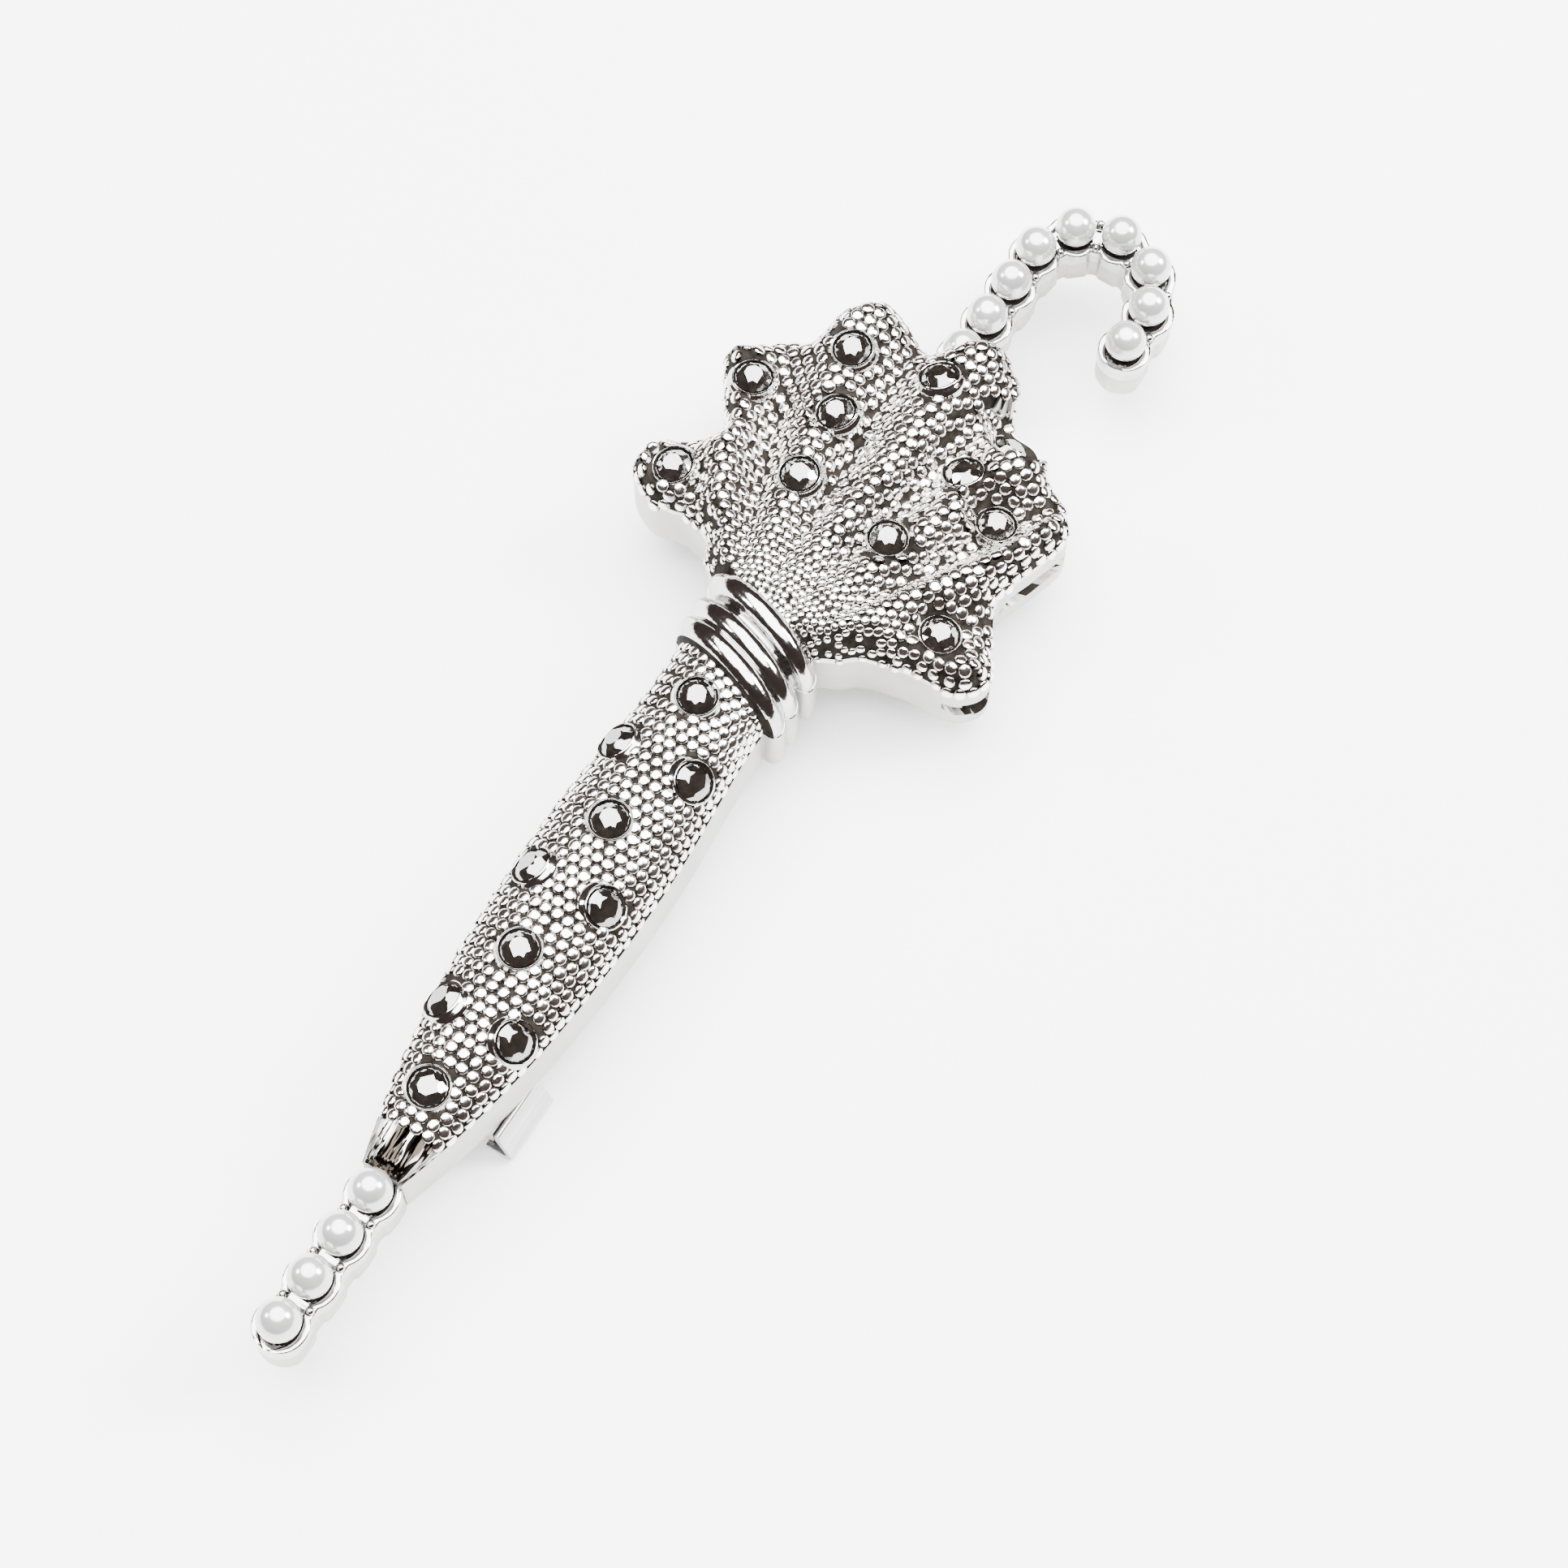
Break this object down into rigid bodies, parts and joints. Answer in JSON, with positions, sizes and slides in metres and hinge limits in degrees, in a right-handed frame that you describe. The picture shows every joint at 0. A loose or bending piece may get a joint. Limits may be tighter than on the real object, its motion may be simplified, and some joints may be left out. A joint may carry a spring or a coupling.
{
  "type": "hair clip",
  "caption": "Closed-parasol hair clip: a stone and pearl set metal casting riveted to a French spring barrette.",
  "frame": {"origin": "middle of the flat underside of the closed lock arm, under the middle of the barrette", "axes": "+X from the parasol's tip to its handle, +Y to the left seen from the decorated face with the tip at the back, +Z out of the decorated face"},
  "size_m": [0.1039, 0.0303, 0.0124],
  "materials": {
    "plated_casting": "bright rhodium-coloured plating, polished relief, satin pitted side walls",
    "pearl": "white imitation pearl, glossy",
    "stone": "foil-backed brilliant-cut clear glass",
    "plated_steel": "nickel-plated sheet steel",
    "spring_steel": "plain spring steel"
  },
  "bodies": {
    "ornament": {"casting": "plated_casting", "tip_pearl_1": "pearl", "tip_pearl_2": "pearl", "tip_pearl_3": "pearl", "tip_pearl_4": "pearl", "handle_pearl_1": "pearl", "handle_pearl_2": "pearl", "handle_pearl_3": "pearl", "handle_pearl_4": "pearl", "handle_pearl_5": "pearl", "handle_pearl_6": "pearl", "handle_pearl_7": "pearl", "handle_pearl_8": "pearl", "handle_pearl_9": "pearl", "canopy_stone_1": "stone", "canopy_stone_2": "stone", "canopy_stone_3": "stone", "canopy_stone_4": "stone", "canopy_stone_5": "stone", "canopy_stone_6": "stone", "canopy_stone_7": "stone", "canopy_stone_8": "stone", "canopy_stone_9": "stone", "canopy_stone_10": "stone", "hem_stone_1": "stone", "hem_stone_2": "stone", "hem_stone_3": "stone", "hem_stone_4": "stone", "hem_stone_5": "stone", "hem_stone_6": "stone", "hem_stone_7": "stone", "hem_stone_8": "stone", "hem_stone_9": "stone", "hem_stone_10": "stone", "hem_stone_11": "stone", "base_bar": "plated_steel", "clasp_plate": "spring_steel", "tension_bar": "spring_steel", "hinge_pin": "plated_steel"},
    "ear_left": {"clasp_ear_left": "spring_steel"},
    "ear_right": {"clasp_ear_right": "spring_steel"},
    "arm": {"lock_arm": "plated_steel"}
  },
  "joints": [
    {"name": "lock_arm_hinge", "type": "hinge", "parent": "ornament", "child": "arm", "pos_m": [0.0276, 0, 0.00155], "axis": [0, -1, 0], "range_deg": [0, 85]},
    {"name": "ear_left_flex", "type": "hinge", "parent": "ornament", "child": "ear_left", "pos_m": [-0.0274, 0.00379, 0.00363], "axis": [1, 0, 0], "range_deg": [0, 10], "stiffness_Nm_per_rad": 0.005},
    {"name": "ear_right_flex", "type": "hinge", "parent": "ornament", "child": "ear_right", "pos_m": [-0.0274, -0.00379, 0.00363], "axis": [-1, 0, 0], "range_deg": [0, 10], "stiffness_Nm_per_rad": 0.005}
  ]
}
